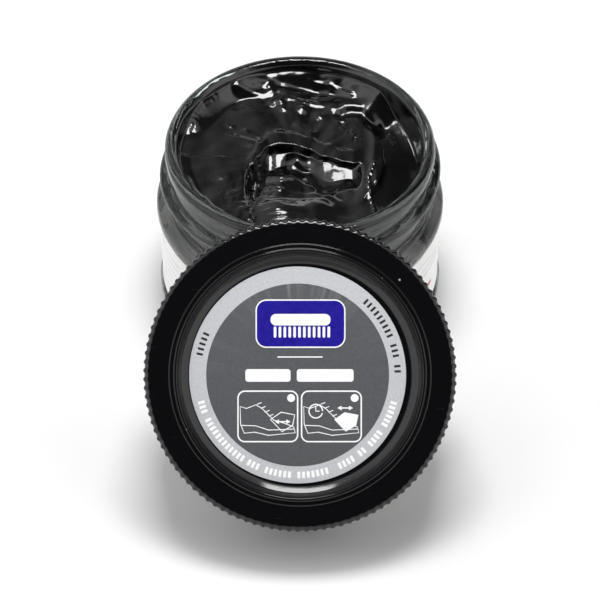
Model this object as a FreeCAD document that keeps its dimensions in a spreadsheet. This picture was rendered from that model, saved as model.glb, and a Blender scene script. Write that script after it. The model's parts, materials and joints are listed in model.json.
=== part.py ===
"""A 50 ml glass jar of shoe cream, open, with its screw cap leaning on the lip.

Millimetres, +Z up. The origin is the middle of the jar's foot, on the surface it
stands on. The cap leans towards -Y. The jar's pieces are drawn where they stand. The
cap's pieces share a frame of their own, whose origin is the middle of the skirt's open
end and whose +Z points out of the cap's top, and that frame is then tilted and set down.
"""

import FreeCAD, Part
import math
import os

import Sketcher
from FreeCAD import Vector

doc = FreeCAD.newDocument("shoe_cream_jar")
sheet = doc.addObject("Spreadsheet::Sheet", "Sheet")

DIMENSIONS = {
    # glass jar, heights from the table
    "jar_height": 40.0,
    "lip_radius": 27.1,
    "mouth_radius": 24.5,
    "lip_depth": 3.0,
    "lip_undercut": 0.4,
    "lip_round": 1.2,
    "neck_radius": 26.7,
    "shoulder_start": 27.6,
    "shoulder_radius": 29.1,
    "shoulder_top": 25.5,
    "shoulder_foot": 23.6,
    "shoulder_round": 1.1,
    "panel_radius": 28.2,
    "panel_top": 22.6,
    "panel_bottom": 5.2,
    "heel_radius": 28.8,
    "heel_top": 4.8,
    "heel_round": 3.6,
    "bore_radius": 25.1,
    "bore_top": 24.0,
    "bore_shoulder": 26.5,
    "bore_round": 4.0,
    "floor_height": 7.2,
    "foot_radius": 22.0,
    "push_up_radius": 20.0,
    "push_up": 1.2,
    # screw thread, cut the same way on the neck and in the cap
    "thread_pitch": 4.23,
    "thread_radius": 28.3,
    "thread_top": 35.9,
    "thread_travel": 5.3,
    "thread_root": 2.0,
    "thread_crest": 0.9,
    "thread_bite": 0.2,
    "cap_thread_radius": 27.55,
    "cap_thread_low": 1.9,
    "cap_thread_travel": 4.3,
    # paper label round the jar
    "paper": 0.15,
    "label_margin": 0.5,
    "label_turn": 357.0,
    "label_seam": 91.5,
    # cream
    "cream_edge": 35.4,
    "cream_hollow": 31.0,
    "hollow_radius": 15.0,
    "hollow_floor_radius": 7.0,
    "brim_round": 1.5,
    "hollow_round": 3.0,
    # cap, heights from the skirt's open end
    "cap_height": 15.0,
    "hem_radius": 30.2,
    "hem_height": 1.1,
    "hem_slope": 0.3,
    "skirt_radius": 29.4,
    "bore_in_cap": 28.6,
    "ceiling": 12.5,
    "edge_round": 0.8,
    "step_round": 0.2,
    "step_radius": 24.9,
    "step_rise": 0.3,
    "ridge_radius": 24.0,
    "ridge_inner_radius": 23.5,
    "ridge_rise": 0.75,
    "slope_radius": 22.5,
    "slope_drop": 0.45,
    "dish_radius": 21.1,
    "dish_drop": 1.15,
    "dish_round": 1.4,
    "bead_radius": 28.0,
    "bead_foot": 9.8,
    "bead_height": 10.7,
    "bead_top": 11.2,
    "rib_count": 111,
    "rib_radius": 0.55,
    "rib_circle": 29.3,
    "rib_top": 13.6,
    # pieces in and on the cap
    "sticker_radius": 20.65,
    "sticker": 0.15,
    "wad_radius": 28.2,
    "wad_thickness": 0.95,
    "film": 0.12,
    "clearance": 0.3,
    # where the cap stands
    "cap_tilt": 43.7,
    "cap_foot": 67.9,
}


class Size:
    """A length that also knows the sheet expression it comes from."""

    def __init__(self, value, text):
        self.value = value
        self.text = text

    def __add__(self, other):
        other = as_size(other)
        return Size(self.value + other.value, f"({self.text} + {other.text})")

    def __sub__(self, other):
        other = as_size(other)
        return Size(self.value - other.value, f"({self.text} - {other.text})")


def as_size(number):
    """A plain number as a Size; a Size stays as it is."""
    return number if isinstance(number, Size) else Size(float(number), str(number))


def fill_sheet():
    """Write the driving dimensions to the sheet and give each back as a Size."""
    sizes = {}
    for row, (alias, value) in enumerate(DIMENSIONS.items(), start=1):
        sheet.set(f"A{row}", alias)
        sheet.set(f"B{row}", str(value))
        sheet.setAlias(f"B{row}", alias)
        sizes[alias] = Size(value, f"Sheet.{alias}")
    doc.recompute()
    return sizes


size = fill_sheet()
zero = Size(0.0, "0")


def new_body(label):
    """An empty PartDesign body for one piece."""
    body = doc.addObject("PartDesign::Body", label)
    body.Label = label
    return body


def origin_part(body, role):
    """One of the body's own origin planes or axes."""
    return next(part for part in body.Origin.OriginFeatures if part.Role == role)


def new_sketch(body, name, plane):
    """A sketch on one of the body's own origin planes."""
    sketch = body.newObject("Sketcher::SketchObject", name)
    sketch.AttachmentSupport = [(origin_part(body, plane), "")]
    sketch.MapMode = "FlatFace"
    return sketch


def pin(sketch, kind, geometry, end, length, name):
    """Tie one point's distance from the origin to the sheet."""
    if length.value == 0.0:
        axis = -2 if kind == "DistanceX" else -1
        sketch.addConstraint(Sketcher.Constraint("PointOnObject", geometry, end, axis))
        return
    sketch.addConstraint(Sketcher.Constraint(kind, -1, 1, geometry, end, length.value))
    sketch.renameConstraint(sketch.ConstraintCount - 1, name)
    sketch.setExpression(f"Constraints.{name}", length.text)


def outline(body, name, corners, plane="XZ_Plane"):
    """A closed outline of straight runs through corners given as (across, up)."""
    sketch = new_sketch(body, name, plane)
    points = [Vector(across.value, up.value, 0) for across, up in corners]
    count = len(points)
    for number in range(count):
        sketch.addGeometry(Part.LineSegment(points[number], points[(number + 1) % count]), False)
    for number in range(count):
        after = (number + 1) % count
        sketch.addConstraint(Sketcher.Constraint("Coincident", number, 2, after, 1))
    for number, (across, up) in enumerate(corners):
        pin(sketch, "DistanceX", number, 1, across, f"across{number}")
        pin(sketch, "DistanceY", number, 1, up, f"up{number}")
    return sketch


def revolve(body, name, sketch, angle=None):
    """Turn an outline about the body's upright axis."""
    turned = body.newObject("PartDesign::Revolution", name)
    turned.Profile = sketch
    turned.ReferenceAxis = (sketch, ["V_Axis"])
    turned.Angle = 360.0
    if angle is not None:
        turned.setExpression("Angle", angle.text)
    doc.recompute()
    return turned


def ring_edges(feature, rings):
    """Names of the circular edges at the given (radius, height) pairs."""
    names = []
    for radius, height in rings:
        for number, edge in enumerate(feature.Shape.Edges, start=1):
            curve = edge.Curve
            if not isinstance(curve, Part.Circle):
                continue
            near_radius = abs(curve.Radius - radius.value) < 0.01
            near_height = abs(curve.Center.z - height.value) < 0.01
            if near_radius and near_height and abs(curve.Axis.z) > 0.99:
                names.append(f"Edge{number}")
    if len(names) < len(rings):
        raise RuntimeError(f"{feature.Label}: a ring edge to round is missing")
    return names


def round_rings(body, name, rings, radius):
    """Round the circular edges at the given (radius, height) pairs."""
    base = body.Tip
    rounded = body.newObject("PartDesign::Fillet", name)
    rounded.Base = (base, ring_edges(base, rings))
    rounded.Radius = radius.value
    rounded.setExpression("Radius", radius.text)
    doc.recompute()
    return rounded


def thread(body, name, root, crest, low, travel):
    """A right-hand helical ridge from root to crest radius, its lower end at low."""
    foot = Size(size["thread_root"].value / 2, "Sheet.thread_root / 2")
    top = Size(size["thread_crest"].value / 2, "Sheet.thread_crest / 2")
    middle = low + foot
    corners = [
        (root, middle - foot),
        (crest, middle - top),
        (crest, middle + top),
        (root, middle + foot),
    ]
    sketch = outline(body, f"{name}_profile", corners)
    ridge = body.newObject("PartDesign::AdditiveHelix", name)
    ridge.Profile = sketch
    ridge.ReferenceAxis = (sketch, ["V_Axis"])
    ridge.Mode = 0
    ridge.Pitch = size["thread_pitch"].value
    ridge.Height = travel.value
    ridge.setExpression("Pitch", size["thread_pitch"].text)
    ridge.setExpression("Height", travel.text)
    doc.recompute()
    return ridge


def set_on_table(body):
    """Tilt a cap piece and stand the skirt's rim on the table in front of the jar."""
    body.Placement = FreeCAD.Placement(Vector(0, 0, 0), FreeCAD.Rotation(Vector(1, 0, 0), 1))
    body.setExpression("Placement.Rotation.Angle", "Sheet.cap_tilt")
    body.setExpression(
        "Placement.Base.y", "Sheet.hem_radius * cos(Sheet.cap_tilt * 1 deg) - Sheet.cap_foot"
    )
    body.setExpression("Placement.Base.z", "Sheet.hem_radius * sin(Sheet.cap_tilt * 1 deg)")


def make_glass_jar():
    """Pressed glass: thick lip, threaded neck, rounded shoulder, label panel and heel."""
    body = new_body("glass_jar")
    lip_foot = size["jar_height"] - size["lip_depth"]
    top = size["jar_height"]
    corners = [
        (zero, size["push_up"]),
        (size["push_up_radius"], size["push_up"]),
        (size["foot_radius"], zero),
        (size["heel_radius"], zero),
        (size["heel_radius"], size["heel_top"]),
        (size["panel_radius"], size["panel_bottom"]),
        (size["panel_radius"], size["panel_top"]),
        (size["shoulder_radius"], size["shoulder_foot"]),
        (size["shoulder_radius"], size["shoulder_top"]),
        (size["neck_radius"], size["shoulder_start"]),
        (size["neck_radius"], lip_foot),
        (size["lip_radius"], lip_foot + size["lip_undercut"]),
        (size["lip_radius"], top),
        (size["mouth_radius"], top),
        (size["mouth_radius"], size["bore_shoulder"]),
        (size["bore_radius"], size["bore_top"]),
        (size["bore_radius"], size["floor_height"]),
        (zero, size["floor_height"]),
    ]
    revolve(body, "glass_wall", outline(body, "glass_profile", corners))
    lip = [(size["lip_radius"], top), (size["mouth_radius"], top)]
    shoulder = [(size["shoulder_radius"], size["shoulder_top"])]
    inner_heel = [(size["bore_radius"], size["floor_height"])]
    round_rings(body, "lip", lip, size["lip_round"])
    round_rings(body, "heel", [(size["heel_radius"], zero)], size["heel_round"])
    round_rings(body, "shoulder", shoulder, size["shoulder_round"])
    round_rings(body, "inner_heel", inner_heel, size["bore_round"])
    low = size["thread_top"] - size["thread_travel"] - size["thread_root"]
    root = size["neck_radius"] - size["thread_bite"]
    thread(body, "neck_thread", root, size["thread_radius"], low, size["thread_travel"])
    return body


def make_wrap_label():
    """White paper band glued in the panel, its ends nearly meeting at the back."""
    body = new_body("wrap_label")
    inner = size["panel_radius"]
    outer = inner + size["paper"]
    low = size["panel_bottom"] + size["label_margin"]
    high = size["panel_top"] - size["label_margin"]
    corners = [(inner, low), (outer, low), (outer, high), (inner, high)]
    revolve(body, "paper_band", outline(body, "paper_profile", corners), size["label_turn"])
    body.Placement = FreeCAD.Placement(Vector(0, 0, 0), FreeCAD.Rotation(Vector(0, 0, 1), 1))
    body.setExpression("Placement.Rotation.Angle", size["label_seam"].text)
    return body


def make_shoe_cream():
    """Black cream that fills the bore, with the hollow that a cloth has scooped out."""
    body = new_body("shoe_cream")
    corners = [
        (zero, size["floor_height"]),
        (size["bore_radius"], size["floor_height"]),
        (size["bore_radius"], size["bore_top"]),
        (size["mouth_radius"], size["bore_shoulder"]),
        (size["mouth_radius"], size["cream_edge"]),
        (size["hollow_radius"], size["cream_edge"]),
        (size["hollow_floor_radius"], size["cream_hollow"]),
        (zero, size["cream_hollow"]),
    ]
    revolve(body, "cream_fill", outline(body, "cream_profile", corners))
    inner_heel = [(size["bore_radius"], size["floor_height"])]
    brim = [(size["hollow_radius"], size["cream_edge"])]
    hollow = [(size["hollow_floor_radius"], size["cream_hollow"])]
    round_rings(body, "cream_heel", inner_heel, size["bore_round"])
    round_rings(body, "hollow_brim", brim, size["brim_round"])
    round_rings(body, "hollow_floor", hollow, size["hollow_round"])
    return body


def make_cap_shell():
    """Black moulded cap: ribbed skirt, stepped rim, dished top and an inside thread."""
    body = new_body("cap_shell")
    top = size["cap_height"]
    step = top + size["step_rise"]
    ridge = top + size["ridge_rise"]
    dish = top - size["dish_drop"]
    slope = top - size["slope_drop"]
    corners = [
        (size["bore_in_cap"], zero),
        (size["hem_radius"], zero),
        (size["hem_radius"], size["hem_height"]),
        (size["skirt_radius"], size["hem_height"] + size["hem_slope"]),
        (size["skirt_radius"], top),
        (size["step_radius"], top),
        (size["step_radius"], step),
        (size["ridge_radius"], step),
        (size["ridge_radius"], ridge),
        (size["ridge_inner_radius"], ridge),
        (size["slope_radius"], slope),
        (size["dish_radius"], dish),
        (zero, dish),
        (zero, size["ceiling"]),
        (size["bore_in_cap"], size["ceiling"]),
        (size["bore_in_cap"], size["bead_top"]),
        (size["bead_radius"], size["bead_height"]),
        (size["bore_in_cap"], size["bead_foot"]),
    ]
    revolve(body, "cap_wall", outline(body, "cap_profile", corners))
    round_rings(body, "top_edge", [(size["skirt_radius"], top)], size["edge_round"])
    steps = [(size["ridge_radius"], ridge), (size["step_radius"], step)]
    round_rings(body, "step_edges", steps, size["step_round"])
    round_rings(body, "dish_corner", [(size["dish_radius"], dish)], size["dish_round"])
    root = size["bore_in_cap"] + size["thread_bite"]
    low = size["cap_thread_low"]
    thread(body, "cap_thread", root, size["cap_thread_radius"], low, size["cap_thread_travel"])
    make_ribs(body)
    set_on_table(body)
    return body


def make_ribs(body):
    """The upright grip ribs: one half-round bar, clear of the wall's seam, repeated."""
    sketch = new_sketch(body, "rib_section", "XY_Plane")
    sketch.AttachmentOffset = FreeCAD.Placement(
        Vector(0, 0, size["hem_height"].value), FreeCAD.Rotation(Vector(0, 0, 1), 1)
    )
    sketch.setExpression("AttachmentOffset.Base.z", size["hem_height"].text)
    sketch.setExpression("AttachmentOffset.Rotation.Angle", "180 / Sheet.rib_count")
    centre = Vector(size["rib_circle"].value, 0, 0)
    sketch.addGeometry(Part.Circle(centre, Vector(0, 0, 1), size["rib_radius"].value), False)
    sketch.addConstraint(Sketcher.Constraint("PointOnObject", 0, 3, -1))
    pin(sketch, "DistanceX", 0, 3, size["rib_circle"], "rib_circle")
    sketch.addConstraint(Sketcher.Constraint("Radius", 0, size["rib_radius"].value))
    sketch.renameConstraint(sketch.ConstraintCount - 1, "rib_radius")
    sketch.setExpression("Constraints.rib_radius", size["rib_radius"].text)
    rib = body.newObject("PartDesign::Pad", "rib")
    rib.Profile = sketch
    rib.setExpression("Length", "Sheet.rib_top - Sheet.hem_height")
    rib.Refine = False
    doc.recompute()
    ribs = body.newObject("PartDesign::PolarPattern", "ribs")
    ribs.Originals = [rib]
    ribs.Axis = (origin_part(body, "Z_Axis"), [""])
    ribs.Angle = 360.0
    ribs.Refine = False
    ribs.Occurrences = int(size["rib_count"].value)
    ribs.setExpression("Occurrences", size["rib_count"].text)
    body.Tip = ribs
    doc.recompute()


def make_disc(label, radius, low, thickness):
    """A flat round piece of the cap."""
    body = new_body(label)
    high = low + thickness
    corners = [(zero, low), (radius, low), (radius, high), (zero, high)]
    revolve(body, f"{label}_disc", outline(body, f"{label}_profile", corners))
    set_on_table(body)
    return body


def make_cap_discs():
    """Sticker in the dish, and the foam wad with its film under the ceiling."""
    dish = size["cap_height"] - size["dish_drop"]
    wad_low = size["ceiling"] - size["clearance"] - size["wad_thickness"]
    return [
        make_disc("cap_sticker", size["sticker_radius"], dish, size["sticker"]),
        make_disc("seal_wad", size["wad_radius"], wad_low, size["wad_thickness"]),
        make_disc("seal_film", size["wad_radius"], wad_low - size["film"], size["film"]),
    ]


pieces = [make_glass_jar(), make_wrap_label(), make_shoe_cream(), make_cap_shell()]
pieces += make_cap_discs()
doc.recompute()

for item in doc.Objects:
    if {"Invalid", "Error"} & set(item.State):
        raise RuntimeError(f"{item.Label} failed: {item.State}")
for piece in pieces:
    if piece.Shape.isNull() or not piece.Shape.isValid() or len(piece.Shape.Solids) != 1:
        raise RuntimeError(f"{piece.Label} is not one sound solid")

os.makedirs("parts", exist_ok=True)
for piece in pieces:
    piece.Shape.exportStep(f"parts/{piece.Label}.step")
    box = piece.Shape.BoundBox
    print(piece.Label, round(piece.Shape.Volume, 1), round(box.ZMin, 2), round(box.ZMax, 2))
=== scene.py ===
import json
import math

import bmesh
import bpy
from mathutils import Matrix, Vector, noise


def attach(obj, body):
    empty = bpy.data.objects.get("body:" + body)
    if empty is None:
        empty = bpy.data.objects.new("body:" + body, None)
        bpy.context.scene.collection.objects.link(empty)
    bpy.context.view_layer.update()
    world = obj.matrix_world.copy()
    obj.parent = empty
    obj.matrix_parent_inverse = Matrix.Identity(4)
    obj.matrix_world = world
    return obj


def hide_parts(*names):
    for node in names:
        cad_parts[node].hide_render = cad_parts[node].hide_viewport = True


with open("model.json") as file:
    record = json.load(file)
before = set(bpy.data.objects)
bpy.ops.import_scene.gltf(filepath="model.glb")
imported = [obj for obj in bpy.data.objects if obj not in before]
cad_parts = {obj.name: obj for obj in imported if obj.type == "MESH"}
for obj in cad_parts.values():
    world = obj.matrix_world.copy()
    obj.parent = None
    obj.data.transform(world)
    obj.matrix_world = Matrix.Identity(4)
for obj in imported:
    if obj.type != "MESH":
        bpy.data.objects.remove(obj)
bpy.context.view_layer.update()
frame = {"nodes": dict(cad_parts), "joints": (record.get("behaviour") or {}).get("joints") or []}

MM = 0.001
TOUCH = 0.01  # a point this near a wall or a corner, in millimetres, is on it
MERGE = 0.002 * MM


# ---------------------------------------------------------------------------
# Glass jar
# A squat screw-neck cosmetic jar of clear flint glass, blown in a mould and
# fire-polished: a thick wall, a soft shoulder, a panel for the label and a
# round lip over a right-hand thread of a turn and a quarter.
# ---------------------------------------------------------------------------

JAR_STEPS = 288
LIP_TOP = 40.0
LIP_RADIUS = 27.1
LIP_ROUND = 1.25
MOUTH_RADIUS = 24.5
NECK_RADIUS = 26.7
BORE_RADIUS = 25.1
BORE_TOP = 24.0
BORE_SHOULDER = 26.5
FLOOR_TOP = 7.2
BORE_ROUND = 4.0
PITCH = 4.23
NECK_THREAD = {"low": 29.6, "turns": 1.25, "height": 1.6, "half_width": 1.15}


def select_only(piece):
    """Leaves this piece selected and active, and nothing else."""
    bpy.ops.object.select_all(action="DESELECT")
    piece.select_set(True)
    bpy.context.view_layer.objects.active = piece


def pick(piece, wanted):
    """In edit mode, selects only the points that wanted() says yes to."""
    bpy.ops.mesh.select_all(action="DESELECT")
    mesh = bmesh.from_edit_mesh(piece.data)
    for point in mesh.verts:
        if wanted(point):
            point.select_set(True)
    mesh.select_flush_mode()
    bmesh.update_edit_mesh(piece.data)


def section(name, corners, rounds=(), cuts=()):
    """Draws half a section in the XZ plane, in millimetres: one point is extruded from corner to
    corner, straight runs in cuts are divided, and the corners in rounds are rounded."""
    bpy.ops.object.select_all(action="DESELECT")
    bpy.ops.mesh.primitive_plane_add(size=MM)
    piece = bpy.context.object
    piece.name = piece.data.name = name
    places = [Vector((radius, 0, height)) * MM for radius, height in corners]
    bpy.ops.object.mode_set(mode="EDIT")
    bpy.ops.mesh.select_all(action="SELECT")
    bpy.ops.mesh.merge(type="CENTER")
    bpy.ops.transform.translate(value=places[0])
    for start, end in zip(places, places[1:]):
        bpy.ops.mesh.extrude_region_move(TRANSFORM_OT_translate={"value": end - start})
    bpy.ops.mesh.select_mode(type="VERT")
    for index, parts in cuts:
        ends = (places[index], places[index + 1])
        pick(piece, lambda point: min((point.co - end).length for end in ends) < TOUCH * MM)
        bpy.ops.mesh.subdivide(number_cuts=parts - 1)
    for index, radius in rounds:
        corner, before, after = places[index], places[index - 1], places[index + 1]
        turn = (corner - before).angle(after - corner)
        pick(piece, lambda point: (point.co - corner).length < TOUCH * MM)
        bpy.ops.mesh.bevel(
            offset=radius * MM * math.tan(turn / 2),
            segments=max(3, round(turn * 4)),
            affect="VERTICES",
            clamp_overlap=False,
        )
    return piece


def turn_round(piece, steps):
    """Spins the drawn section about the piece's axis into a closed shell, then merges its seam."""
    bpy.ops.mesh.select_all(action="SELECT")
    bpy.ops.mesh.spin(steps=steps, angle=math.tau, center=(0, 0, 0), axis=(0, 0, 1))
    bpy.ops.mesh.select_all(action="SELECT")
    bpy.ops.mesh.remove_doubles(threshold=MERGE)
    bpy.ops.mesh.dissolve_degenerate(threshold=0.0005 * MM)
    bpy.ops.mesh.select_all(action="SELECT")
    bpy.ops.mesh.normals_make_consistent(inside=False)
    bpy.ops.object.mode_set(mode="OBJECT")


def smooth(piece, degrees):
    """Shades the piece smooth, except across edges sharper than this."""
    select_only(piece)
    bpy.ops.object.shade_smooth_by_angle(angle=math.radians(degrees))


def soft_step(value, start, end):
    """0 before start, 1 after end, and a smooth rise between them."""
    share = min(1.0, max(0.0, (value - start) / (end - start)))
    return share * share * (3 - 2 * share)


def thread_height(angle, height, thread):
    """How far a right-hand thread stands out of its wall there, from 0 to 1. It rises with the
    angle, has a round crest and runs out over 20 degrees at each end."""
    best = 0.0
    for lap in range(2):
        turns = angle / math.tau + lap
        if turns > thread["turns"]:
            continue
        away = abs(height - thread["low"] - PITCH * turns) / thread["half_width"]
        ends = soft_step(turns, 0, 0.055) * soft_step(thread["turns"] - turns, 0, 0.055)
        if away < 1:
            best = max(best, ends * (1 - away**2.6))
    return best


def cut_thread(piece, wall, low, high, thread, outward):
    """Pushes the points of a wall, between two heights, out to a thread's shape."""
    for point in piece.data.vertices:
        radius, height = Vector(point.co.xy).length / MM, point.co.z / MM
        if abs(radius - wall) > TOUCH or not low < height < high:
            continue
        angle = math.atan2(point.co.y, point.co.x) % math.tau
        push = thread_height(angle, height, thread) * thread["height"] * outward
        point.co.xy = point.co.xy * (radius + push) / radius


jar = section(
    "jar_glass",
    [
        (0, 1.2), (20, 1.2), (22, 0), (28.8, 0), (28.8, 4.8), (28.2, 5.2), (28.2, 22.6),
        (29.1, 23.6), (29.1, 25.5), (NECK_RADIUS, 27.6), (NECK_RADIUS, 37),
        (LIP_RADIUS, 37.4), (LIP_RADIUS, LIP_TOP), (MOUTH_RADIUS, LIP_TOP),
        (MOUTH_RADIUS, BORE_SHOULDER), (BORE_RADIUS, BORE_TOP), (BORE_RADIUS, FLOOR_TOP),
        (0, FLOOR_TOP),
    ],
    rounds=[
        (1, 1.0), (2, 0.5), (3, 3.6), (4, 0.25), (5, 0.25), (6, 0.4), (7, 0.5), (8, 1.6),
        (9, 0.8), (10, 0.3), (11, 0.3), (12, LIP_ROUND), (13, LIP_ROUND), (14, 3.0), (15, 3.0),
        (16, BORE_ROUND),
    ],
    cuts=[(9, 64)],
)
turn_round(jar, JAR_STEPS)
cut_thread(jar, NECK_RADIUS, 27.7, 36.9, NECK_THREAD, outward=1)
smooth(jar, 60)


def linear(colour):
    """An sRGB hex colour, such as "0b0b0d", as the linear RGBA that a socket takes."""
    parts = [int(colour[i : i + 2], 16) / 255 for i in (0, 2, 4)]
    return [c / 12.92 if c <= 0.04045 else ((c + 0.055) / 1.055) ** 2.4 for c in parts] + [1]


def wire(made, **inputs):
    """Fills a shader node's inputs. Each is a value or another node's socket. An input's name has
    underscores for its spaces, or is an underscore and its number."""
    for name, value in inputs.items():
        socket = made.inputs[int(name[1:]) if name[1:].isdigit() else name.replace("_", " ")]
        if isinstance(value, bpy.types.NodeSocket):
            made.id_data.links.new(value, socket)
        else:
            socket.default_value = value


def node(tree, kind, settings=(), stops=(), **inputs):
    """Adds a shader node, with its own settings, a ramp's stops and its inputs. A stop is a place
    from 0 to 1, and a hex colour or a grey."""
    made = tree.nodes.new("ShaderNode" + kind)
    for name, value in dict(settings).items():
        setattr(made, name, value)
    for index, (place, value) in enumerate(stops):
        elements = made.color_ramp.elements
        element = elements[index] if index < 2 else elements.new(place)
        element.position = place
        element.color = linear(value) if isinstance(value, str) else (value, value, value, 1)
    wire(made, **inputs)
    return made


def new_material(name, **surface):
    """A material with one Principled shader, its plain numbers set on its own sockets."""
    material = bpy.data.materials.new(name)
    material.use_nodes = True
    tree = material.node_tree
    shader = tree.nodes["Principled BSDF"]
    wire(shader, **surface)
    return material, tree, shader


def dress(shader, colour, roughness, bump):
    """Joins a finish's colour and roughness ramps and its bump to the surface."""
    wire(shader, Base_Color=colour.outputs["Color"], Roughness=roughness.outputs["Color"])
    wire(shader, Normal=bump.outputs["Normal"])


def paint(piece, material):
    """Gives the whole piece one material."""
    piece.data.materials.clear()
    piece.data.materials.append(material)


# Fire-polished soda-lime glass: clear, with a grey-green cast where it is thick, slow waves left
# by the mould, and fingerprints of cream that dull it a little.
glass, tree, shader = new_material("fire_polished_flint_glass", Transmission_Weight=1.0, IOR=1.52)
place = node(tree, "TexCoord").outputs["Object"]
waves = node(tree, "TexNoise", Vector=place, Scale=1 / (9 * MM), Detail=1.0)
smudge = node(tree, "TexNoise", Vector=place, Scale=1 / (5 * MM), Detail=6.0, Roughness=0.6)
cast = node(tree, "ValToRGB", stops=[(0.35, "dfe9e4"), (0.7, "ecf3f0")], Fac=smudge.outputs["Fac"])
dull = node(tree, "ValToRGB", stops=[(0.45, 0.012), (0.75, 0.07)], Fac=smudge.outputs["Fac"])
bump = node(tree, "Bump", Height=waves.outputs["Fac"], Strength=0.35, Distance=0.25 * MM)
dress(shader, cast, dull, bump)
paint(jar, glass)
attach(jar, "jar")
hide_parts("glass_jar")


# ---------------------------------------------------------------------------
# Shoe cream
# Black wax and oil cream, filled warm, so that it wets the glass, and since
# scooped with a cloth: a hollow under a folded lip, a long swipe, torn edges,
# peaks where the cloth lifted off, and a film smeared up the wall.
# ---------------------------------------------------------------------------

CREAM_STEPS = 400
CREAM_LEVEL = 35.4
FILM_RADIUS = 24.2
FILM_TOP = 39.2
FILM_END = 1.35  # past where the lip's round begins
FILM_FOOT = 0.3
FILM_EDGE = 0.06
WET = 0.07  # how far the fill reaches into the glass, so that no air shows between them
WET_TOP = 37.8
WET_RADIUS = MOUTH_RADIUS + WET
WET_BORE = BORE_RADIUS + WET
CREAM_BOTTOM = FLOOR_TOP - WET
SHRINK = 0.02


def rough(x, y, size, layer, octaves):
    """Smooth random relief about zero, with features of about this size in millimetres."""
    return noise.fractal((x / size, y / size, layer * 7.3), 0.6, 2.1, octaves)


def mound(x, y, middle, across, along, lean=0):
    """A rounded mound, 1 at its middle, of two half-widths, leaning by an angle in degrees."""
    dx, dy = x - middle[0], y - middle[1]
    turn = math.radians(lean)
    u = (dx * math.cos(turn) + dy * math.sin(turn)) / across
    v = (dy * math.cos(turn) - dx * math.sin(turn)) / along
    return math.exp(-u * u - v * v)


def cord_line(x, y, line, width):
    """A rounded ridge, 1 on a broken line of points and fading over its width."""
    nearest = 99.0
    for (ax, ay), (bx, by) in zip(line, line[1:]):
        length = (bx - ax) ** 2 + (by - ay) ** 2
        share = min(1, max(0, ((x - ax) * (bx - ax) + (y - ay) * (by - ay)) / length))
        nearest = min(nearest, math.hypot(x - ax - share * (bx - ax), y - ay - share * (by - ay)))
    return math.exp(-((nearest / width) ** 2))


# The edge of the lip that is folded over the hollow, from left to right, seen from above.
FOLD = [(-11, -3.6), (-9.6, -1.6), (-8.4, 1.2), (-6.2, 4.4), (-4, 5.0), (-1.8, 5.0), (1.9, 3.9),
        (4.8, 1.8), (8.9, 0.3), (11.3, -0.2), (13, -1.0)]


def folded_edge(x):
    """How far back from the jar's middle the folded lip's edge lies."""
    for (left, low), (right, high) in zip(FOLD, FOLD[1:]):
        if x <= right:
            return low + (high - low) * soft_step(x, left, right)
    return FOLD[-1][1]


def strokes(x, y, radius, angle):
    """Broad strokes of the cloth that fan out from the middle, and soft unevenness between them."""
    fan = 1.3 * noise.noise((angle / 22, radius / 16, 3.1))
    fan += 0.35 * noise.noise((angle / 9, radius / 14, 9.1))
    away = soft_step(radius, 3, 12) * (1 - soft_step(x, 2, 12))
    return 0.5 * fan * away + 0.3 * rough(x, y, 7.0, 1, 2)


def grain(x, y, line, width, size, amount):
    """Fine crumbs along a broken line of points."""
    along = cord_line(x, y, line, width)
    return amount * along * rough(x, y, size, 7, 2) if along > 0.02 else 0.0


def back_wall(x, y, radius):
    """The cream climbs the glass at the back, in folds where the cloth lifted off."""
    if y < 3:
        return 0.0
    climb = 2.6 * soft_step(radius + 0.5 * rough(x, y, 7.0, 8, 1), 20.3, 24.8) * soft_step(y, 3, 15)
    torn = soft_step(y, 11, 16) * (1 - soft_step(abs(x + 1), 9, 15))
    climb += torn * 0.5 * rough(x * 0.5, y, 5.0, 2, 1) + torn * 0.12 * rough(x * 0.5, y, 1.7, 3, 2)
    climb += 0.5 * cord_line(x, y, [(-12.6, 19), (-9.8, 18.7), (-6, 19.2)], 0.9)
    climb += 0.6 * cord_line(x, y, [(-6, 20.4), (-3.5, 19.8), (-0.3, 19.2)], 1.0)
    climb += 0.5 * cord_line(x, y, [(-5.4, 16.4), (-2.6, 17.8), (1.8, 16.6), (6, 16.0)], 0.9)
    climb += 0.35 * cord_line(x, y, [(1.5, 22.3), (6, 21.2), (10.5, 18.6)], 0.5)
    climb += 0.45 * cord_line(x, y, [(-0.4, 9.8), (2.3, 7.8)], 0.9)
    climb += 0.4 * mound(x, y, (3.9, 13.0), 1.2, 0.9, -25)
    climb += 0.5 * mound(x, y, (0.7, 14.6), 1.0, 1.0)
    for spot in ((-14.1, 9.4), (-11.0, 8.0), (-3.9, 16.2), (-3.7, 14.6)):
        climb += 0.28 * mound(x, y, spot, 0.8, 0.6, -25)
    return climb


def hollow(x, y):
    """The drop into the hollow, and how far the folded lip leans out over it. Its floor falls
    gently away from under the lip, and then climbs back to the level in front."""
    span = soft_step(x, -11.5, -8.5) * (1 - soft_step(x, 10.5, 13))
    inside = folded_edge(x) - y
    inside += soft_step(inside, 0.5, 3) * (1.3 * noise.noise((x / 4, y / 4, 5.5)))
    if not -8 < inside < 14 or not span:
        return 0.0, 0.0
    right = soft_step(x, 0, 5)
    drop = (2.2 - 0.9 * right) * soft_step(inside, -0.2, 1.2)
    drop += 0.36 * min(max(inside - 0.9, 0.0), 3.6 - 0.9 * soft_step(x, 5, 11))
    drop *= (1 - soft_step(inside, 4.7 - 0.9 * soft_step(x, 5, 11), 12)) * span
    drop -= span * 0.4 * math.exp(-(((inside + 1.6) / 1.4) ** 2))
    drop -= 1.3 * mound(x, y, (-0.9, 1.4), 2.2, 2.0)
    lean_out = span * 1.3 * math.exp(-(((inside + 0.3) / 0.9) ** 2))
    return drop, lean_out


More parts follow.
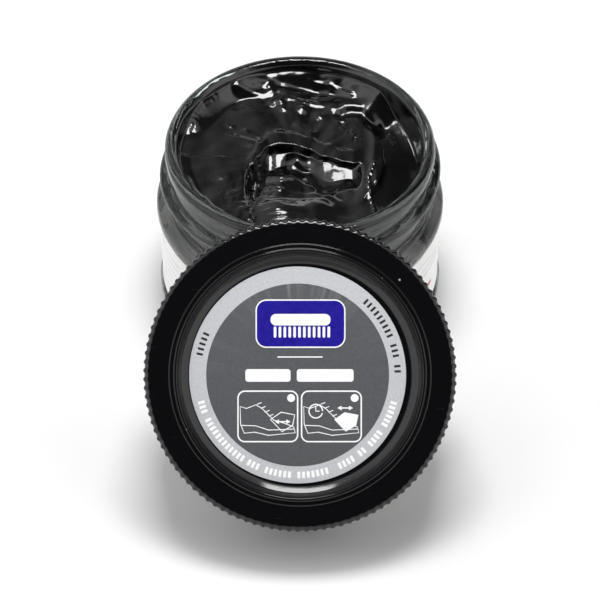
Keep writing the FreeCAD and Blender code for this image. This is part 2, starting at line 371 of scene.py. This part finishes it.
def front(x, y, radius):
    """Rings from the turn of the finger, the long swipe, a torn plate and crumbs in front."""
    if y > 1:
        return 0.0
    crescent = [(-9.6, -3.4), (-8.2, -4.7), (-6.7, -5.4), (-3.9, -6.2), (-1.6, -5.4)]
    height = 0.6 * cord_line(x, y, crescent, 0.75)
    ring = math.hypot((x - 0.5) / 1.25, y - 2.5)
    fades = soft_step(-y, 4, 7) * (1 - soft_step(abs(x), 9, 13))
    height += 0.08 * fades * math.cos((ring - 10) * 2.2) * math.exp(-(((ring - 10.5) / 3) ** 2))
    height -= 1.0 * mound(x, y, (9, -13), 10, 5, -28)
    height += 0.45 * cord_line(x, y, [(-6, -8.6), (-4, -9)], 0.6)
    height += 0.4 * mound(x, y, (5.8, -7.6), 0.9, 0.5, 25)
    height += 1.5 * mound(x, y, (-3.2, -15.2), 5.2, 3.6)
    height += 0.5 * mound(x, y, (5.4, -13.4), 2.6, 2.2)
    height += 0.8 * soft_step(radius, 21.8, 24.4)
    tear = -9.8 + 1.6 * noise.noise((y * 0.55, 4.0, 8.0)) + 0.6 * noise.noise((y * 2.2, 1.0, 2.0))
    plate = soft_step(-y, 5.0, 7.0) * (1 - soft_step(-y, 19, 23))
    height -= 1.0 * plate * soft_step(x, tear, tear + 0.45) * (1 - soft_step(x, tear + 1, tear + 7))
    return height + grain(x, y, [(-14, -10), (-12.5, -14), (-10, -17)], 2.2, 1.1, 0.16)


def right_side(x, y, radius, angle):
    """The deep scoop along the right-hand wall, the folded flap behind it and a row of beads."""
    if x < 4:
        return 0.0
    scoop = soft_step(angle, -48, -22) * (1 - soft_step(angle, 34, 48))
    height = -scoop * (0.9 * soft_step(radius, 16.4, 17.6) + 0.42 * max(0.0, radius - 16.4))
    height += 0.4 * cord_line(x, y, [(14.6, 11), (15.2, 5), (14.7, 0), (15.4, -6)], 0.9)
    flap = [(7.5, 15.0), (9, 16.1), (11, 16.6), (13.3, 15.7), (15.5, 13)]
    under_flap = [(8.6, 13.6), (10.4, 14.3), (12.4, 14.1), (14.5, 12.6)]
    height += 0.5 * cord_line(x, y, flap, 1.5)
    height -= 0.6 * cord_line(x, y, under_flap, 1.2)
    height += 0.4 * mound(x, y, (13.0, 11.6), 1.3, 0.8, -20)
    height += 0.5 * cord_line(x, y, [(18.4, 10.8), (18.9, 7.6)], 0.6)
    height += grain(x, y, [(8.2, 13), (8.8, 9.5), (11.4, 6)], 1.0, 0.8, 0.22)
    if y < 1:
        for index in range(11):
            along = index / 10
            wander = 0.5 * noise.noise((index * 1.9, 2.5, 0.5))
            bead = (14.6 - 0.9 * math.sin(along * 3.6) + wander, -1.5 - 12.5 * along)
            size = 0.28 + 0.4 * abs(noise.noise((index * 3.7, 0.5, 0.5)))
            height += 0.45 * mound(x, y, bead, size, size * 1.6)
    return height


def cream_point(x, y):
    """Where a point of the level surface goes, in millimetres, as the cloth has left it."""
    radius, angle = math.hypot(x, y), math.degrees(math.atan2(y, x))
    drop, lean_out = hollow(x, y)
    height = CREAM_LEVEL + 0.3 - 0.03 * x - drop
    height += strokes(x, y, radius, angle) + back_wall(x, y, radius)
    height += front(x, y, radius) + right_side(x, y, radius, angle)
    height += grain(x, y, [(-22, 6), (-21.5, 9.5), (-19.8, 13.2), (-16.4, 16.8)], 0.5, 0.6, 0.3)
    return Vector((x, y - lean_out, height + 0.02 * rough(x, y, 0.9, 6, 2)))


def on_the_glass(distance, off):
    """A radius and a height on the mouth's wall: so far past where the lip's round begins, and
    so far off the glass."""
    if distance < 0:
        return MOUTH_RADIUS - off, LIP_TOP - LIP_ROUND + distance
    turn = distance / LIP_ROUND
    reach = LIP_ROUND + off
    radius = MOUTH_RADIUS + LIP_ROUND - reach * math.cos(turn)
    return radius, LIP_TOP - LIP_ROUND + reach * math.sin(turn)


cream = section(
    "black_cream",
    [
        (0, CREAM_LEVEL), (FILM_RADIUS, CREAM_LEVEL), (FILM_RADIUS, FILM_TOP),
        (WET_RADIUS, FILM_TOP), (WET_RADIUS, WET_TOP), (WET_RADIUS, BORE_SHOULDER),
        (WET_BORE, BORE_TOP), (WET_BORE, CREAM_BOTTOM), (0, CREAM_BOTTOM),
    ],
    rounds=[(7, BORE_ROUND)],
    cuts=[(0, 112), (1, 18), (3, 8), (6, 24)],
)
turn_round(cream, CREAM_STEPS)
for point in cream.data.vertices:
    x, y, height = point.co / MM
    radius = math.hypot(x, y)
    on_top = height > CREAM_LEVEL - TOUCH
    faces_in = radius < WET_RADIUS - TOUCH
    if on_top and radius > FILM_RADIUS - TOUCH and (faces_in or height > WET_TOP + TOUCH):
        # The film smeared up the wall: a ragged edge on the lip, thick below and thin above.
        angle = math.atan2(y, x)
        round_x, round_y = math.cos(angle), math.sin(angle)
        end = FILM_END + 0.4 * noise.fractal((round_x * 5, round_y * 5, 2), 0.7, 2, 4)
        if faces_in:
            foot = FILM_RADIUS - 0.4
            start = cream_point(round_x * foot, round_y * foot).z + 0.25
            share = (height - CREAM_LEVEL) / (FILM_TOP - CREAM_LEVEL)
            off = FILM_FOOT - (FILM_FOOT - FILM_EDGE) * soft_step(share, -0.1, 0.8)
        else:
            start = WET_TOP
            share = (height - WET_TOP) / (FILM_TOP - WET_TOP)
            off = MOUTH_RADIUS - WET_RADIUS
        start -= LIP_TOP - LIP_ROUND
        radius, height = on_the_glass(start + (end - start) * share, off)
        point.co = Vector((round_x * radius, round_y * radius, height)) * MM
    elif on_top:
        point.co = cream_point(x, y) * MM
    elif abs(radius - WET_BORE) < TOUCH:
        # The fill has shrunk off the glass in patches at the shoulder, on both sides.
        patch = noise.fractal((x / 7, y / 7, height / 3), 0.8, 2.1, 4)
        side = soft_step(abs(x), 15, 19)
        side *= soft_step(height, 17.5, 19) * (1 - soft_step(height, 23.2, 24))
        point.co.xy = point.co.xy * (1 - SHRINK * side * soft_step(patch, -0.25, -0.1))
smooth(cream, 80)

# Wax cream: carbon black in soft wax and oil. It is wet, so it is a gloss black with clean
# highlights, dulled a little where the oil has dried, and it carries fine grit from the cloth.
cream_wax, tree, shader = new_material(
    "carbon_black_wax_cream", Coat_Weight=0.35, Coat_Roughness=0.04
)
place = node(tree, "TexCoord").outputs["Object"]
dry = node(tree, "TexNoise", Vector=place, Scale=1 / (6 * MM), Detail=5.0, Roughness=0.6)
grit = node(tree, "TexNoise", Vector=place, Scale=1 / (0.35 * MM), Detail=2.0)
black = node(tree, "ValToRGB", stops=[(0.35, "040405"), (0.7, "0b0b0d")], Fac=dry.outputs["Fac"])
dull = node(tree, "ValToRGB", stops=[(0.38, 0.07), (0.72, 0.22)], Fac=dry.outputs["Fac"])
bump = node(tree, "Bump", Height=grit.outputs["Fac"], Strength=0.12, Distance=0.03 * MM)
dress(shader, black, dull, bump)
paint(cream, cream_wax)
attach(cream, "jar")
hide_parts("shoe_cream")


# ---------------------------------------------------------------------------
# Screw cap
# One black polypropylene moulding: a skirt of fine grip ribs over a plain
# hem, a polished top with a stepped rim and a shallow dish, and inside it
# the thread and the bead that holds the liner.
# ---------------------------------------------------------------------------

RIBS = 111
SKIRT_RADIUS = 29.4
RIB_HEIGHT = 0.45
RIB_HALF_WIDTH = 0.54
STEPS_IN_RIB = 8
CAP_TOP = 15.0
CROWN_ROUND = 0.8
BORE_IN_CAP = 28.6
CEILING = 12.5
CAP_THREAD = {"low": 2.9, "turns": 4.3 / PITCH, "height": 1.05, "half_width": 1.0}
turn_joint = next(joint for joint in frame["joints"] if joint["name"] == "cap_turn")
hem_middle = Vector(turn_joint["pos_m"])
cap_tilt = Vector((0, 0, 1)).angle(Vector(turn_joint["axis"]))


def lean(piece):
    """Sets a piece made on the level cap on the cap as it leans, and applies its place."""
    select_only(piece)
    piece.matrix_world = Matrix.Translation(hem_middle) @ Matrix.Rotation(cap_tilt, 4, "X")
    bpy.ops.object.transform_apply(location=True, rotation=True, scale=True)


def cap_place(tree):
    """Object coordinates turned back to the level cap's, so that a pattern lies square on it."""
    place = node(tree, "TexCoord").outputs["Object"]
    level = node(
        tree, "Mapping", {"vector_type": "TEXTURE"},
        Vector=place, Location=hem_middle, Rotation=(cap_tilt, 0, 0),
    )
    return level.outputs["Vector"]


cap = section(
    "screw_cap",
    [
        (0, CEILING), (BORE_IN_CAP, CEILING), (BORE_IN_CAP, 11.2), (28.0, 10.7),
        (BORE_IN_CAP, 9.8), (BORE_IN_CAP, 0.9), (28.9, 0), (30.2, 0), (30.2, 1.1),
        (SKIRT_RADIUS, 1.4),
        (SKIRT_RADIUS, CAP_TOP), (24.9, CAP_TOP), (24.9, 15.3), (24.0, 15.3), (24.0, 15.75),
        (23.5, 15.75), (22.5, 14.55), (21.1, 13.85), (0, 13.85),
    ],
    rounds=[
        (3, 0.3), (6, 0.2), (7, 0.3), (8, 0.3), (9, 0.2), (10, CROWN_ROUND), (11, 0.15), (12, 0.15),
        (13, 0.15), (14, 0.2), (15, 0.2), (16, 0.8), (17, 1.4),
    ],
    cuts=[(4, 18), (9, 8)],
)
turn_round(cap, RIBS * STEPS_IN_RIB)
cut_thread(cap, BORE_IN_CAP, 1.0, 9.7, CAP_THREAD, outward=-1)
rib_pitch = math.tau / RIBS
for point in cap.data.vertices:
    radius, height = Vector(point.co.xy).length / MM, point.co.z / MM
    on_crown = height > CAP_TOP - CROWN_ROUND and radius > SKIRT_RADIUS - CROWN_ROUND + TOUCH
    if abs(radius - SKIRT_RADIUS) > TOUCH and not on_crown:
        continue
    turned = (math.atan2(point.co.y, point.co.x) + rib_pitch / 2) % rib_pitch - rib_pitch / 2
    across = abs(turned) * SKIRT_RADIUS / RIB_HALF_WIDTH
    ends = math.sqrt(soft_step(height, 1.4, 1.9) * soft_step(CAP_TOP - height, 0, CROWN_ROUND))
    push = RIB_HEIGHT * ends * math.sqrt(max(0.0, 1 - across * across))
    point.co.xy = point.co.xy * (radius + push) / radius
smooth(cap, 50)
lean(cap)

# Moulded polypropylene from a polished tool: black and glossy, with a faint orange peel, hairline
# scratches from handling, and specks of dust that sit on its top.
plastic, tree, shader = new_material("moulded_black_polypropylene", IOR=1.49)
place = cap_place(tree)
peel = node(tree, "TexNoise", Vector=place, Scale=1 / (1.6 * MM), Detail=2.0)
stretched = node(tree, "Mapping", Vector=place, Rotation=(0, 0, 0.6), Scale=(0.06, 1, 1))
along = stretched.outputs["Vector"]
hairline = node(tree, "TexNoise", Vector=along, Scale=1 / (0.3 * MM), Detail=1.0)
dust = node(tree, "TexVoronoi", Vector=place, Scale=1 / (1.7 * MM))
patch = node(tree, "TexNoise", Vector=place, Scale=1 / (7 * MM), Detail=3.0)
near = node(
    tree, "Math", {"operation": "ADD"}, _0=dust.outputs["Distance"], _1=patch.outputs["Fac"]
)
grains = [(0.43, "a8a8a4"), (0.46, "08080a")]
specks = node(tree, "ValToRGB", stops=grains, Fac=near.outputs["Value"])
marked = node(tree, "ValToRGB", stops=[(0.66, 0.11), (0.78, 0.34)], Fac=hairline.outputs["Fac"])
bump = node(tree, "Bump", Height=peel.outputs["Fac"], Strength=0.08, Distance=0.05 * MM)
dress(shader, specks, marked, bump)
paint(cap, plastic)
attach(cap, "cap")
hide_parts("cap_shell")


# ---------------------------------------------------------------------------
# Cap sticker
# A round die-cut film sticker, pressed into the dish: a silver ring round a
# slate-grey field, with plain marks printed in white, blue and black ink.
# ---------------------------------------------------------------------------

DISH_TOP = 13.85
STICKER = 0.15
INK = 0.02
INK_TOP = DISH_TOP + STICKER + INK
DISC_STEPS = 180


def disc(name, radius, low, high, middle):
    """A flat round piece with a slightly rounded edge, made on the level cap."""
    edge = (high - low) * 0.3
    corners = [(0, low), (radius, low), (radius, high), (0, high)]
    piece = section(name, corners, rounds=[(1, edge), (2, edge)])
    turn_round(piece, DISC_STEPS)
    piece.data.transform(Matrix.Translation((middle[0] * MM, middle[1] * MM, 0)))
    return piece


def curve_piece(name, line, closed, settings):
    """Draws points in millimetres as a poly curve and makes it a mesh."""
    data = bpy.data.curves.new(name, "CURVE")
    for key, value in settings.items():
        setattr(data, key, value)
    spline = data.splines.new("POLY")
    spline.points.add(len(line) - 1)
    for point, (x, y) in zip(spline.points, line):
        point.co = (x * MM, y * MM, 0, 1)
    spline.use_cyclic_u = closed
    piece = bpy.data.objects.new(name, data)
    bpy.context.scene.collection.objects.link(piece)
    select_only(piece)
    bpy.ops.object.convert(target="MESH")
    bpy.ops.object.mode_set(mode="EDIT")
    bpy.ops.mesh.select_all(action="SELECT")
    bpy.ops.mesh.remove_doubles(threshold=MERGE)
    bpy.ops.mesh.normals_make_consistent(inside=False)
    bpy.ops.object.mode_set(mode="OBJECT")
    return piece


def stroke(line, width, closed=False):
    """An ink line of that width along the points: a round cord, pressed flat on the sticker."""
    cord = {"dimensions": "3D", "bevel_depth": width / 2 * MM, "bevel_resolution": 2}
    piece = curve_piece("ink", line, closed, {**cord, "use_fill_caps": True})
    flat = Matrix.Scale(INK * 1.5 / (width / 2), 4, (0, 0, 1))
    piece.data.transform(Matrix.Translation((0, 0, (INK_TOP - INK) * MM)) @ flat)
    return piece


def patch_of_ink(line, raised=0.015):
    """A filled shape of ink with this outline."""
    fill = {"dimensions": "2D", "fill_mode": "BOTH", "extrude": INK / 2 * MM}
    piece = curve_piece("ink", line, True, fill)
    piece.data.transform(Matrix.Translation((0, 0, (INK_TOP - INK / 2 + raised) * MM)))
    return piece


def arc(middle, radius, start, end, steps):
    """Points along an arc, from one angle to another in degrees."""
    turns = [math.radians(start + (end - start) * i / steps) for i in range(steps + 1)]
    return [(middle[0] + radius * math.cos(t), middle[1] + radius * math.sin(t)) for t in turns]


def round_box(left, right, low, high, corner):
    """The outline of a box with rounded corners."""
    inner = [(right - corner, high - corner), (left + corner, high - corner),
             (left + corner, low + corner), (right - corner, low + corner)]
    line = []
    for index, middle in enumerate(inner):
        line += arc(middle, corner, 90 * index, 90 * index + 90, 8)
    return line


def join_marks(name, pieces):
    """Joins ink marks of one colour into one piece."""
    select_only(pieces[0])
    for piece in pieces:
        piece.select_set(True)
    bpy.ops.object.join()
    joined = bpy.context.object
    joined.name = joined.data.name = name
    return joined


def cap_print(name, pieces, material):
    """Prints ink marks of one colour on the cap's sticker."""
    joined = join_marks(name, pieces)
    lean(joined)
    smooth(joined, 30)
    paint(joined, material)
    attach(joined, "cap")


def ink(name, hex_dark, hex_light, roughness, mottle_mm, **surface):
    """Printed ink: its colour varies a little over a patch size, under a satin varnish."""
    made, tree, shader = new_material(name, **surface)
    place = cap_place(tree)
    mottle = node(tree, "TexNoise", Vector=place, Scale=1 / (mottle_mm * MM), Detail=4.0)
    shades = [(0.35, hex_dark), (0.65, hex_light)]
    sheens = [(0.3, roughness - 0.05), (0.7, roughness + 0.05)]
    colour = node(tree, "ValToRGB", stops=shades, Fac=mottle.outputs["Fac"])
    finish = node(tree, "ValToRGB", stops=sheens, Fac=mottle.outputs["Fac"])
    bump = node(tree, "Bump", Height=mottle.outputs["Fac"], Strength=0.05, Distance=0.02 * MM)
    dress(shader, colour, finish, bump)
    return made


# Metallised polyester film, which reads as a satin pale grey, and screen inks on it: a slate that
# is nearly even, a white that stands slightly proud, and a deep blue and a black.
FIELD_MIDDLE = (-0.45, 0.0)
silver = ink("silver_film_sticker", "bec0c3", "c8cacd", 0.42, 0.5, Metallic=0.05)
slate = ink("slate_grey_ink", "505255", "595b5e", 0.4, 0.3)
white_ink = ink("white_ink", "f2f2f3", "fafafa", 0.45, 0.6)
blue_ink = ink("royal_blue_ink", "170a86", "1d0d96", 0.38, 0.8)
black_ink = ink("black_ink", "121213", "1c1c1e", 0.5, 0.5)

sticker = disc("silver_sticker", 20.65, DISH_TOP + 0.01, DISH_TOP + STICKER, FIELD_MIDDLE)
lean(sticker)
smooth(sticker, 30)
paint(sticker, silver)
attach(sticker, "cap")
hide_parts("cap_sticker")
field = disc("slate_field", 17.4, DISH_TOP + STICKER - 0.01, INK_TOP - 0.005, FIELD_MIDDLE)
cap_print("slate_field", [field], slate)

# The plate and its plain brush emblem.
PLATE = (-8.3, 8.5, 5.3, 14.2)
plate = patch_of_ink(round_box(*PLATE, 1.9), 0.005)
cap_print("blue_plate", [plate], blue_ink)
white = [stroke(round_box(*PLATE, 1.9), 0.42, closed=True)]
white.append(patch_of_ink(round_box(-5.6, 5.8, 9.4, 11.6, 1.0), 0.02))
for index in range(12):
    left = -5.0 + index * 0.93
    white.append(patch_of_ink(round_box(left, left + 0.5, 7.1, 9.2, 0.2), 0.02))

# Two plain bars where a name would be, and a thin rule over them.
white.append(stroke([(-4.3, 3.4), (4.3, 3.4)], 0.3))
for left, right in ((-10.4, -1.8), (-0.6, 10.2)):
    white.append(patch_of_ink(round_box(left, right, -1.3, 1.1, 0.5)))

# Two frames with how to use it: a shoe and a cloth, then a clock, the shoe and the cloth.
SHOE = [(-11.4, -6.0), (-10.2, -6.4), (-8.4, -5.7), (-7.2, -6.4), (-5.0, -8.6), (-3.0, -9.2),
        (-1.2, -9.9), (-0.9, -11.0), (-6.0, -11.5), (-8.6, -10.9), (-10.6, -11.1), (-11.3, -9.4)]
CLOTH = [(-5.6, -8.5), (-3.6, -7.1), (-1.0, -7.6), (-1.4, -9.6), (-3.4, -10.8)]
SOLE = [(-11.2, -9.6), (-8.4, -9.7), (-6.0, -10.5), (-1.2, -10.3)]
RIGHT_FRAME = 12.1


def moved(line, dx):
    """The same points, so far to the right."""
    return [(x + dx, y) for x, y in line]


for dx in (0, RIGHT_FRAME):
    white.append(stroke(round_box(-11.8 + dx, -0.45 + dx, -12.7, -3.1, 1.3), 0.34, closed=True))
    white.append(stroke(moved(SHOE, dx), 0.2, closed=True))
    white.append(stroke(moved(SOLE, dx), 0.2))
    for lace in range(4):
        start = (-8.2 + 0.75 * lace + dx, -5.6 - 0.75 * lace)
        white.append(stroke([start, (start[0] + 0.9, start[1] + 0.35)], 0.2))
    white.append(patch_of_ink(arc((-1.7 + dx, -4.4), 0.75, 0, 360, 28)[:-1]))
white.append(stroke(CLOTH, 0.25, closed=True))
white.append(patch_of_ink(moved(CLOTH, RIGHT_FRAME)))
clock = (3.0, -6.9)
white.append(stroke(arc(clock, 1.3, 0, 345, 28), 0.3))
white.append(stroke([(clock[0], clock[1] + 1.0), clock, (clock[0] + 0.7, clock[1])], 0.25))
for x, y in ((-3.3, -8.9), (8.6, -6.3)):
    white.append(stroke([(x - 1.1, y), (x + 1.1, y)], 0.3))
    for way in (-1, 1):
        tip = x + 1.5 * way
        barb = tip - 0.8 * way
        head = [(tip, y), (barb, y + 0.45), (barb, y - 0.45)]
        white.append(patch_of_ink(head[::way]))


TICK_RADIUS = 19.05


def ticks(start, end, step, length, width, gaps=()):
    """Short marks that stand across the ring, like those of a scale, with gaps between groups."""
    marks, angle, count = [], start, 0
    while angle < end:
        if count not in gaps:
            inner = arc(FIELD_MIDDLE, TICK_RADIUS - length / 2, angle, angle, 1)[0]
            outer = arc(FIELD_MIDDLE, TICK_RADIUS + length / 2, angle, angle, 1)[0]
            marks.append(stroke([inner, outer], width))
        angle += step
        count += 1
    return marks


white += ticks(196, 237, 2.7, 1.25, 0.55, gaps=(3,))
white += ticks(241, 289, 2.7, 1.25, 0.55, gaps=(3, 10))
white += ticks(295, 344, 2.7, 1.25, 0.55, gaps=(4, 7, 12))
cap_print("white_marks", white, white_ink)
black = ticks(156, 171, 3.0, 1.2, 0.45) + ticks(2, 48, 3.0, 1.2, 0.45, gaps=(2, 6))
cap_print("black_marks", black, black_ink)


# ---------------------------------------------------------------------------
# Liner
# A disc of white polyethylene foam faced with a clear film, pressed in past
# the cap's bead. The lip of the jar has left its ring in it, with a little
# cream.
# ---------------------------------------------------------------------------

# Closed-cell polyethylene foam: a matt off-white, dimpled all over by cells about a third of a
# millimetre across, with painted shade that makes each dimple a little darker.
foam, tree, shader = new_material("polyethylene_foam_wad", Subsurface_Weight=0.1)
place = cap_place(tree)
cells = node(tree, "TexVoronoi", Vector=place, Scale=1 / (0.35 * MM))
dimple_depth_and_shade = cells.outputs["Distance"]
# Painted shade: the colour darkens towards each cell's middle, where the bump sinks its dimple.
colour = node(tree, "ValToRGB", stops=[(0.1, "d9d9d4"), (0.6, "ecece8")], Fac=dimple_depth_and_shade)
matt = node(tree, "ValToRGB", stops=[(0.1, 0.6), (0.6, 0.75)], Fac=dimple_depth_and_shade)
bump = node(tree, "Bump", Height=dimple_depth_and_shade, Strength=0.4, Distance=0.06 * MM)
dress(shader, colour, matt, bump)
paint(frame["nodes"]["seal_wad"], foam)

# Polyethylene facing film: glossy and off-white over the foam, with slow ripples, and a ragged
# black ring of cream where it has met the lip.
film, tree, shader = new_material("polyethylene_facing_film", Coat_Weight=0.3, Coat_Roughness=0.1)
place = cap_place(tree)
flat_place = node(tree, "Mapping", Vector=place, Scale=(1, 1, 0))
reach = node(tree, "VectorMath", {"operation": "LENGTH"}, _0=flat_place.outputs["Vector"])
wander = node(tree, "TexNoise", Vector=place, Scale=1 / (3 * MM), Detail=5.0)
ripple = wander.outputs["Fac"]
ragged = node(
    tree, "Math", {"operation": "MULTIPLY_ADD"}, _0=ripple, _1=2.2 * MM, _2=reach.outputs["Value"]
)
across = node(
    tree, "MapRange", Value=ragged.outputs["Value"], From_Min=25.4 * MM, From_Max=28.6 * MM
)
ring = [(0.28, "d6d6d1"), (0.36, "1a1a1b"), (0.52, "232324"), (0.62, "d2d2cd")]
colour = node(tree, "ValToRGB", stops=ring, Fac=across.outputs["Result"])
gloss = node(tree, "ValToRGB", stops=[(0.35, 0.22), (0.7, 0.4)], Fac=ripple)
bump = node(tree, "Bump", Height=ripple, Strength=0.2, Distance=0.1 * MM)
dress(shader, colour, gloss, bump)
paint(frame["nodes"]["seal_film"], film)


# ---------------------------------------------------------------------------
# Wrap label
# A band of coated white paper, glued in the jar's panel, its ends nearly
# meeting at the back. It is printed with fine grey rules, a red bar, and a
# blue plate with a white brush on each side.
# ---------------------------------------------------------------------------

LABEL_BACK = 28.12
LABEL_FACE = 28.4
LABEL_LOW = 5.9
LABEL_HIGH = 22.0
LABEL_GAP = math.radians(3)

label = section(
    "paper_label",
    [
        (LABEL_BACK, LABEL_LOW), (LABEL_FACE, LABEL_LOW), (LABEL_FACE, LABEL_HIGH),
        (LABEL_BACK, LABEL_HIGH), (LABEL_BACK, LABEL_LOW),
    ],
)
bpy.ops.mesh.select_all(action="SELECT")
bpy.ops.mesh.remove_doubles(threshold=MERGE)
bpy.ops.mesh.select_all(action="SELECT")
band = math.tau - LABEL_GAP
bpy.ops.mesh.spin(steps=JAR_STEPS, angle=band, center=(0, 0, 0), axis=(0, 0, 1))
bpy.ops.mesh.select_all(action="SELECT")
bpy.ops.mesh.remove_doubles(threshold=MERGE)
bpy.ops.mesh.fill_holes(sides=4)
bpy.ops.mesh.select_all(action="SELECT")
bpy.ops.mesh.normals_make_consistent(inside=False)
bpy.ops.object.mode_set(mode="OBJECT")
first = min(math.atan2(v.co.y, v.co.x) % math.tau for v in label.data.vertices)
label.data.transform(Matrix.Rotation(math.pi / 2 + LABEL_GAP / 2 - first, 4, "Z"))
smooth(label, 40)

# Coated label paper: chalk white, satin, and thin enough that daylight comes through to its back,
# which shows in the glass above it.
label_paper, tree, shader = new_material(
    "coated_label_paper",
    Specular_IOR_Level=0.35,
    Subsurface_Weight=0.6,
    Subsurface_Radius=(1, 1, 1),
    Subsurface_Scale=0.35 * MM,
)
place = node(tree, "TexCoord").outputs["Object"]
fibre = node(tree, "TexNoise", Vector=place, Scale=1 / (0.5 * MM), Detail=4.0)
cloud = node(tree, "TexNoise", Vector=place, Scale=1 / (6 * MM), Detail=2.0)
chalk = node(tree, "ValToRGB", stops=[(0.3, "eeeeec"), (0.7, "f6f6f5")], Fac=cloud.outputs["Fac"])
satin = node(tree, "ValToRGB", stops=[(0.3, 0.42), (0.7, 0.55)], Fac=fibre.outputs["Fac"])
bump = node(tree, "Bump", Height=fibre.outputs["Fac"], Strength=0.15, Distance=0.03 * MM)
dress(shader, chalk, satin, bump)
paint(label, label_paper)
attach(label, "jar")
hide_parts("wrap_label")


def label_print(name, pieces, material):
    """Prints ink marks of one colour on the label: cuts them every millimetre and bends them round
    the jar. A mark's x is its distance along the paper from the front, and its y is its height."""
    joined = join_marks(name, pieces)
    mesh = bmesh.new()
    mesh.from_mesh(joined.data)
    for cut_x in range(-84, 85):
        everything = mesh.verts[:] + mesh.edges[:] + mesh.faces[:]
        place = (cut_x * MM, 0, 0)
        bmesh.ops.bisect_plane(mesh, geom=everything, plane_co=place, plane_no=(1, 0, 0))
    for vert in mesh.verts:
        reach = LABEL_FACE * MM + vert.co.z - (INK_TOP - INK) * MM
        angle = vert.co.x / (LABEL_FACE * MM) - math.pi / 2
        vert.co = (reach * math.cos(angle), reach * math.sin(angle), vert.co.y)
    mesh.to_mesh(joined.data)
    mesh.free()
    smooth(joined, 30)
    paint(joined, material)
    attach(joined, "jar")


# Fine grey rules on both sides, where the directions would be, and a plate as on the cap.
RULE_LENGTHS = (9, 9, 9, 8, 17, 15, 11)
grey, red, blue, white = [], [], [], []
for left in (-40, 22):
    for line, length in enumerate(RULE_LENGTHS):
        height = 8.2 + 1.8 * line
        grey.append(stroke([(left, height), (left + length, height)], 0.25))
red.append(patch_of_ink(round_box(31.8, 34.6, 10.6, 11.4, 0.2)))
for middle in (-58, 58):
    blue.append(patch_of_ink(round_box(middle - 9, middle + 9, 8.6, 18.6, 1.9)))
    white.append(patch_of_ink(round_box(middle - 6, middle + 6, 13.4, 15.8, 1.1), 0.02))
    for index in range(12):
        left = middle - 5.4 + index * 0.95
        white.append(patch_of_ink(round_box(left, left + 0.5, 10.9, 13.2, 0.2), 0.02))
label_print("label_rules", grey, ink("grey_label_ink", "c9cacc", "d6d7d8", 0.5, 0.6))
label_print("label_bar", red, ink("red_label_ink", "b8252b", "c63138", 0.45, 0.6))
label_print("label_plates", blue, blue_ink)
label_print("label_emblems", white, white_ink)


# ---------------------------------------------------------------------------
# Studio: a white table, one soft box overhead and a little behind, a bright
# tent all round with a dark hole where the camera stands, and a dimmer wall
# of the tent behind the jar.
# ---------------------------------------------------------------------------

bpy.ops.mesh.primitive_plane_add(size=6)
floor = bpy.context.object
floor.name = "floor"
paper, tree, shader = new_material("white_table", Roughness=0.9, Specular_IOR_Level=0.1)
place = node(tree, "TexCoord").outputs["Object"]
cloud = node(tree, "TexNoise", Vector=place, Scale=1 / (40 * MM))
white = node(tree, "ValToRGB", stops=[(0.3, "f2f2f2"), (0.7, "f5f5f5")], Fac=cloud.outputs["Fac"])
wire(shader, Base_Color=white.outputs["Color"])
paint(floor, paper)


def soft_box(name, middle, towards, distance, size, watts):
    """A rectangular soft box that looks at middle from that direction."""
    data = bpy.data.lights.new(name, "AREA")
    data.shape = "RECTANGLE"
    data.size, data.size_y = size
    data.energy = watts
    lamp = bpy.data.objects.new(name, data)
    bpy.context.scene.collection.objects.link(lamp)
    lamp.location = Vector(middle) + Vector(towards).normalized() * distance
    lamp.rotation_euler = Vector(towards).to_track_quat("Z", "Y").to_euler()


soft_box("overhead_box", (0, -0.02, 0.02), (0.01, 0.13, 0.98), 0.55, (0.26, 0.17), 2.1)

world = bpy.data.worlds.new("studio")
world.use_nodes = True
bpy.context.scene.world = world
tree = world.node_tree
sky = tree.nodes["Background"]
heading = node(tree, "TexCoord").outputs["Generated"]
direction = node(tree, "SeparateXYZ", Vector=heading)
hole = node(tree, "VectorMath", {"operation": "DOT_PRODUCT"}, _0=heading, _1=(0, -0.7071, 0.7071))

back = node(
    tree, "MapRange", Value=direction.outputs["X"],
    From_Min=0.25, From_Max=-0.4, To_Min=0.08, To_Max=0.55,
)
side = node(
    tree, "MapRange", Value=direction.outputs["Y"],
    From_Min=0.3, From_Max=-0.05, To_Min=0.0, To_Max=1.0,
)
tent = node(tree, "Mix", Factor=side.outputs["Result"], A=back.outputs["Result"], B=1.45)
dark = node(
    tree, "MapRange", Value=hole.outputs["Value"],
    From_Min=0.72, From_Max=0.86, To_Min=1.0, To_Max=0.03,
)
holed = node(
    tree, "Math", {"operation": "MULTIPLY"}, _0=tent.outputs["Result"], _1=dark.outputs["Result"]
)
low = node(
    tree, "MapRange", Value=direction.outputs["Z"],
    From_Min=0.34, From_Max=0.2, To_Min=0.0, To_Max=1.1,
)
room = node(
    tree, "Math", {"operation": "MAXIMUM"}, _0=holed.outputs["Value"], _1=low.outputs["Result"]
)
seen = node(tree, "LightPath").outputs["Is Camera Ray"]
strength = node(tree, "Mix", Factor=seen, A=room.outputs["Value"], B=0.93)
wire(sky, Color=(1, 1, 1, 1), Strength=strength.outputs["Result"])

CAMERA_DISTANCE = 0.7
AIM = Vector((0, -0.0046, 0))
camera = bpy.data.objects.new("camera", bpy.data.cameras.new("camera"))
bpy.context.scene.collection.objects.link(camera)
elevation = math.radians(45)
camera.location = AIM + Vector((0, -math.cos(elevation), math.sin(elevation))) * CAMERA_DISTANCE
camera.rotation_euler = (math.pi / 2 - elevation, 0, 0)
camera.data.lens = 202.4
camera.data.sensor_width = 36
bpy.context.scene.camera = camera
bpy.context.scene.view_settings.view_transform = "Standard"
